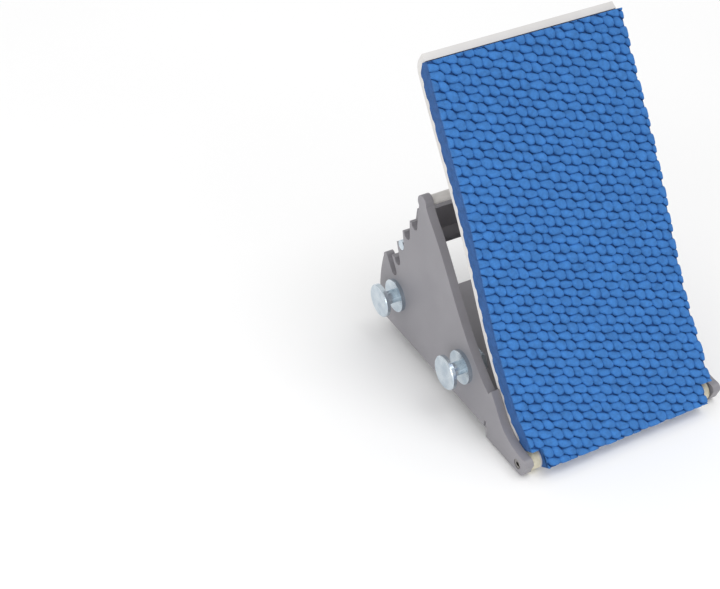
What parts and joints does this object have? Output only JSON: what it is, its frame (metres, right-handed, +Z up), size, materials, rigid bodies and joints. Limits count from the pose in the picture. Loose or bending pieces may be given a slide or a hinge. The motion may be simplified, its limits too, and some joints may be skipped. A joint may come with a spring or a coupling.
{
  "type": "starting block foot pedal",
  "caption": "Adjustable foot pedal of a running start block: curved rubber-faced pad, hinged at the toe on a notched steel base, held by a prop, hung by side studs.",
  "frame": {"origin": "centre of the floor plate's underside, on the pedal's mid-plane between the side plates", "axes": "+Z up from the floor plate, +Y towards the rear of the base, away from the toe hinge; X across the pedal, with the rail studs on the -X side"},
  "size_m": [0.1431, 0.1632, 0.1959],
  "materials": {
    "powder_grey": "satin powder coat",
    "pad_paint": "light satin powder coat",
    "prop_paint": "satin powder coat",
    "zinc": "bright zinc plate",
    "spring_steel": "plain steel",
    "nylon": "natural nylon",
    "blue_rubber": "embossed track rubber",
    "label": "glossy film"
  },
  "bodies": {
    "base": {"side_plate_left": "powder_grey", "side_plate_right": "powder_grey", "floor_plate": "powder_grey", "tie_rod": "pad_paint", "hinge_pin": "spring_steel", "rail_stud_front": "zinc", "rail_stud_rear": "zinc", "stud_collars": "zinc", "stud_washers": "zinc", "stud_nuts": "zinc", "side_label": "label"},
    "pad": {"pad_plate": "pad_paint", "rubber_mat": "blue_rubber", "hinge_bush_left": "nylon", "hinge_bush_right": "nylon", "prop_lug_left": "powder_grey", "prop_lug_right": "powder_grey", "prop_pivot_pin": "zinc", "pivot_clips": "spring_steel"},
    "prop_arm": {"prop": "prop_paint", "notch_pin": "zinc"}
  },
  "joints": [
    {"name": "pad_tilt", "type": "hinge", "parent": "base", "child": "pad", "pos_m": [0, -0.0883, -0.001], "axis": [1, 0, 0], "range_deg": [0, 12]},
    {"name": "prop_swing", "type": "hinge", "parent": "pad", "child": "prop_arm", "pos_m": [0, 0.02483, 0.14786], "axis": [1, 0, 0], "range_deg": [0, 17]}
  ],
  "couplings": [
    {"joint": "prop_swing", "follows": "pad_tilt", "ratio": 1.4}
  ]
}
